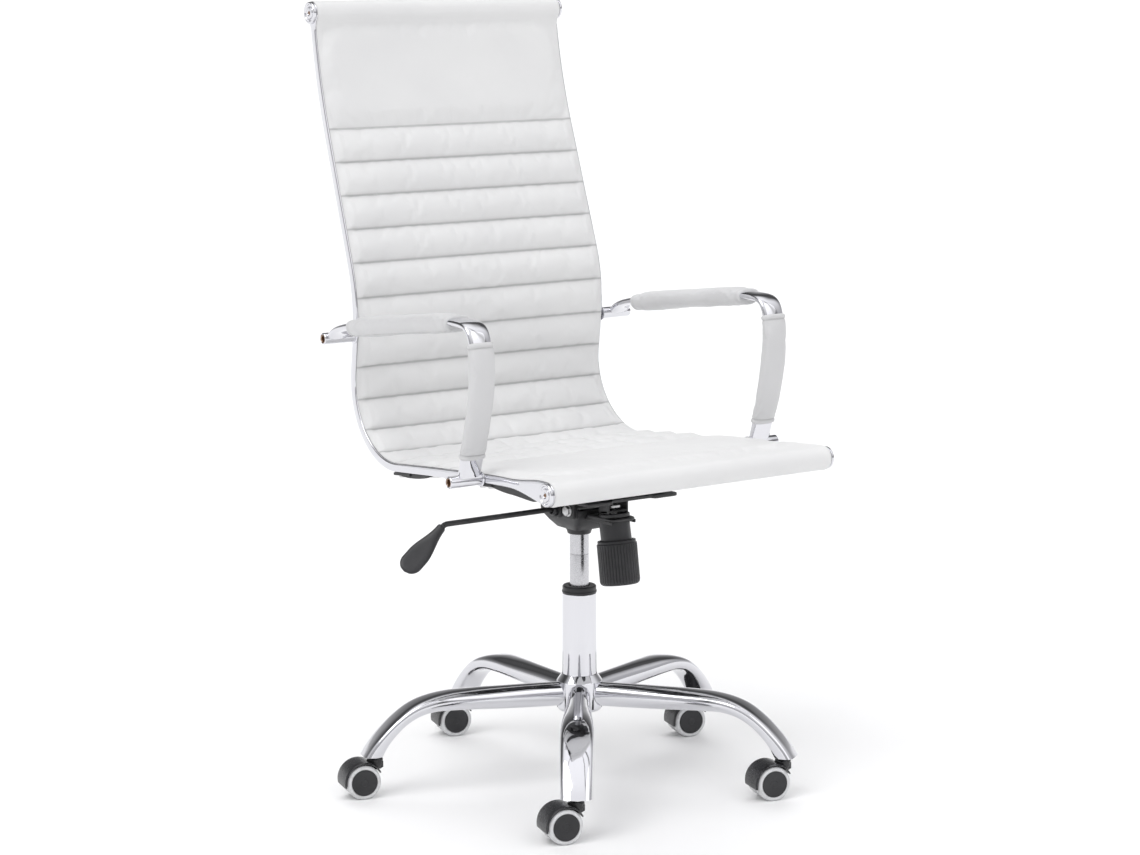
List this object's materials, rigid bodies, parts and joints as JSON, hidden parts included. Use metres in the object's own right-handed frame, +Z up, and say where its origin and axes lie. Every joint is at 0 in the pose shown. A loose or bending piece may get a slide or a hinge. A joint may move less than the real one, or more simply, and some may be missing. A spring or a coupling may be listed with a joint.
{
  "type": "office swivel chair",
  "caption": "High-back office swivel chair: ribbed leather sling on a bent steel frame, loop arms, tilt mechanism, gas lift, star base on twin-wheel casters.",
  "frame": {"origin": "middle of the chair's footprint, on the floor (bottom centre of its box); the column stands 15 mm towards +X and 52 mm towards -Y of it", "axes": "+Z up; the chair faces -Y, so the sitter's right hand, the height lever and the nodes named right are on the -X side"},
  "size_m": [0.6618, 0.6555, 1.1267],
  "materials": {
    "chrome": "bright chrome plate",
    "leather": "white coated leather, fine grain, satin",
    "black_plastic": "moulded, satin",
    "black_steel": "black powder coat",
    "wheel": "pale grey nylon tread with a black disc",
    "piston_steel": "satin, ground",
    "steel": "bright, zinc plated"
  },
  "bodies": {
    "base": {"base_star": "chrome", "column_tube": "chrome", "column_bushing": "black_plastic", "thrust_bearing": "steel", "caster_1_stem": "steel", "caster_2_stem": "steel", "caster_3_stem": "steel", "caster_4_stem": "steel", "caster_5_stem": "steel"},
    "rotor": {"piston_rod": "steel"},
    "post": {"gas_cylinder": "piston_steel", "mechanism_housing": "black_steel", "tilt_axle": "steel", "spring_cover": "black_plastic", "tension_spring": "steel"},
    "seat": {"seat_plate": "black_steel", "front_support": "black_steel", "rear_support": "black_steel", "right_rail": "chrome", "left_rail": "chrome", "top_tube": "chrome", "front_tube": "chrome", "upholstery": "leather", "right_arm": "chrome", "left_arm": "chrome", "right_arm_pad": "leather", "left_arm_pad": "leather", "right_arm_sleeve": "leather", "left_arm_sleeve": "leather", "right_top_cap": "chrome", "left_top_cap": "chrome", "right_front_cap": "chrome", "left_front_cap": "chrome"},
    "bolt": {"tension_bolt": "steel"},
    "knob_carrier": {"spring_washer": "steel"},
    "knob": {"tension_knob": "black_plastic"},
    "valve": {"valve_button": "steel"},
    "lever_carrier": {"lever_bush": "black_plastic"},
    "lever": {"lever_rod": "black_steel", "lever_paddle": "black_plastic"},
    "caster_1": {"caster_1_hood": "black_plastic", "caster_1_axle": "steel"},
    "wheel_1a": {"caster_1_wheel_a": "wheel"},
    "wheel_1b": {"caster_1_wheel_b": "wheel"},
    "caster_2": {"caster_2_hood": "black_plastic", "caster_2_axle": "steel"},
    "wheel_2a": {"caster_2_wheel_a": "wheel"},
    "wheel_2b": {"caster_2_wheel_b": "wheel"},
    "caster_3": {"caster_3_hood": "black_plastic", "caster_3_axle": "steel"},
    "wheel_3a": {"caster_3_wheel_a": "wheel"},
    "wheel_3b": {"caster_3_wheel_b": "wheel"},
    "caster_4": {"caster_4_hood": "black_plastic", "caster_4_axle": "steel"},
    "wheel_4a": {"caster_4_wheel_a": "wheel"},
    "wheel_4b": {"caster_4_wheel_b": "wheel"},
    "caster_5": {"caster_5_hood": "black_plastic", "caster_5_axle": "steel"},
    "wheel_5a": {"caster_5_wheel_a": "wheel"},
    "wheel_5b": {"caster_5_wheel_b": "wheel"}
  },
  "joints": [
    {"name": "seat_swivel", "type": "hinge", "parent": "base", "child": "rotor", "pos_m": [0.015, -0.052, 0.2], "axis": [0, 0, 1], "continuous": true},
    {"name": "seat_height", "type": "slide", "parent": "rotor", "child": "post", "axis": [0, 0, 1], "range_m": [-0.076, 0]},
    {"name": "seat_tilt", "type": "hinge", "parent": "post", "child": "seat", "pos_m": [0.015, -0.082, 0.408], "axis": [-1, 0, 0], "range_deg": [0, 14], "stiffness_Nm_per_rad": 90, "springref_deg": -17.19, "deforming": ["tension_spring"]},
    {"name": "bolt_pivot", "type": "hinge", "parent": "seat", "child": "bolt", "pos_m": [0.015, -0.13538, 0.41275], "axis": [-1, 0, 0], "range_deg": [-14, 0]},
    {"name": "knob_travel", "type": "slide", "parent": "bolt", "child": "knob_carrier", "axis": [0, 0.1461, 0.9893], "range_m": [0, 0.008]},
    {"name": "knob_turn", "type": "hinge", "parent": "knob_carrier", "child": "knob", "pos_m": [0.015, -0.151, 0.307], "axis": [0, 0.1461, 0.9893], "range_deg": [0, 1440]},
    {"name": "lever_pull", "type": "slide", "parent": "post", "child": "lever_carrier", "axis": [-1, 0, 0], "range_m": [0, 0.01]},
    {"name": "lever_lift", "type": "hinge", "parent": "lever_carrier", "child": "lever", "pos_m": [-0.0215, -0.052, 0.4061], "axis": [0, 1, 0], "range_deg": [0, 5], "stiffness_Nm_per_rad": 3, "springref_deg": -8.59},
    {"name": "valve_press", "type": "slide", "parent": "post", "child": "valve", "axis": [0, 0, -1], "range_m": [0, 0.0032]},
    {"name": "caster_1_swivel", "type": "hinge", "parent": "base", "child": "caster_1", "pos_m": [-0.17122, -0.29733, 0.05], "axis": [0, 0, 1], "continuous": true},
    {"name": "caster_1_roll_a", "type": "hinge", "parent": "caster_1", "child": "wheel_1a", "pos_m": [-0.19247, -0.29164, 0.025], "axis": [-0.2588, -0.9659, 0], "continuous": true},
    {"name": "caster_1_roll_b", "type": "hinge", "parent": "caster_1", "child": "wheel_1b", "pos_m": [-0.19247, -0.29164, 0.025], "axis": [-0.2588, -0.9659, 0], "continuous": true},
    {"name": "caster_2_swivel", "type": "hinge", "parent": "base", "child": "caster_2", "pos_m": [0.19078, -0.30491, 0.05], "axis": [0, 0, 1], "continuous": true},
    {"name": "caster_2_roll_a", "type": "hinge", "parent": "caster_2", "child": "wheel_2a", "pos_m": [0.16953, -0.29922, 0.025], "axis": [-0.2588, -0.9659, 0], "continuous": true},
    {"name": "caster_2_roll_b", "type": "hinge", "parent": "caster_2", "child": "wheel_2b", "pos_m": [0.16953, -0.29922, 0.025], "axis": [-0.2588, -0.9659, 0], "continuous": true},
    {"name": "caster_3_swivel", "type": "hinge", "parent": "base", "child": "caster_3", "pos_m": [0.30985, 0.03702, 0.05], "axis": [0, 0, 1], "continuous": true},
    {"name": "caster_3_roll_a", "type": "hinge", "parent": "caster_3", "child": "wheel_3a", "pos_m": [0.2886, 0.04272, 0.025], "axis": [-0.2588, -0.9659, 0], "continuous": true},
    {"name": "caster_3_roll_b", "type": "hinge", "parent": "caster_3", "child": "wheel_3b", "pos_m": [0.2886, 0.04272, 0.025], "axis": [-0.2588, -0.9659, 0], "continuous": true},
    {"name": "caster_4_swivel", "type": "hinge", "parent": "base", "child": "caster_4", "pos_m": [0.02145, 0.25593, 0.05], "axis": [0, 0, 1], "continuous": true},
    {"name": "caster_4_roll_a", "type": "hinge", "parent": "caster_4", "child": "wheel_4a", "pos_m": [0.0002, 0.26163, 0.025], "axis": [-0.2588, -0.9659, 0], "continuous": true},
    {"name": "caster_4_roll_b", "type": "hinge", "parent": "caster_4", "child": "wheel_4b", "pos_m": [0.0002, 0.26163, 0.025], "axis": [-0.2588, -0.9659, 0], "continuous": true},
    {"name": "caster_5_swivel", "type": "hinge", "parent": "base", "child": "caster_5", "pos_m": [-0.27587, 0.04929, 0.05], "axis": [0, 0, 1], "continuous": true},
    {"name": "caster_5_roll_a", "type": "hinge", "parent": "caster_5", "child": "wheel_5a", "pos_m": [-0.29712, 0.05498, 0.025], "axis": [-0.2588, -0.9659, 0], "continuous": true},
    {"name": "caster_5_roll_b", "type": "hinge", "parent": "caster_5", "child": "wheel_5b", "pos_m": [-0.29712, 0.05498, 0.025], "axis": [-0.2588, -0.9659, 0], "continuous": true}
  ],
  "couplings": [
    {"joint": "bolt_pivot", "follows": "seat_tilt", "ratio": -1},
    {"joint": "knob_travel", "follows": "knob_turn", "m_per_rad": 0.000318},
    {"joint": "valve_press", "follows": "lever_lift", "m_per_rad": 0.0365}
  ]
}
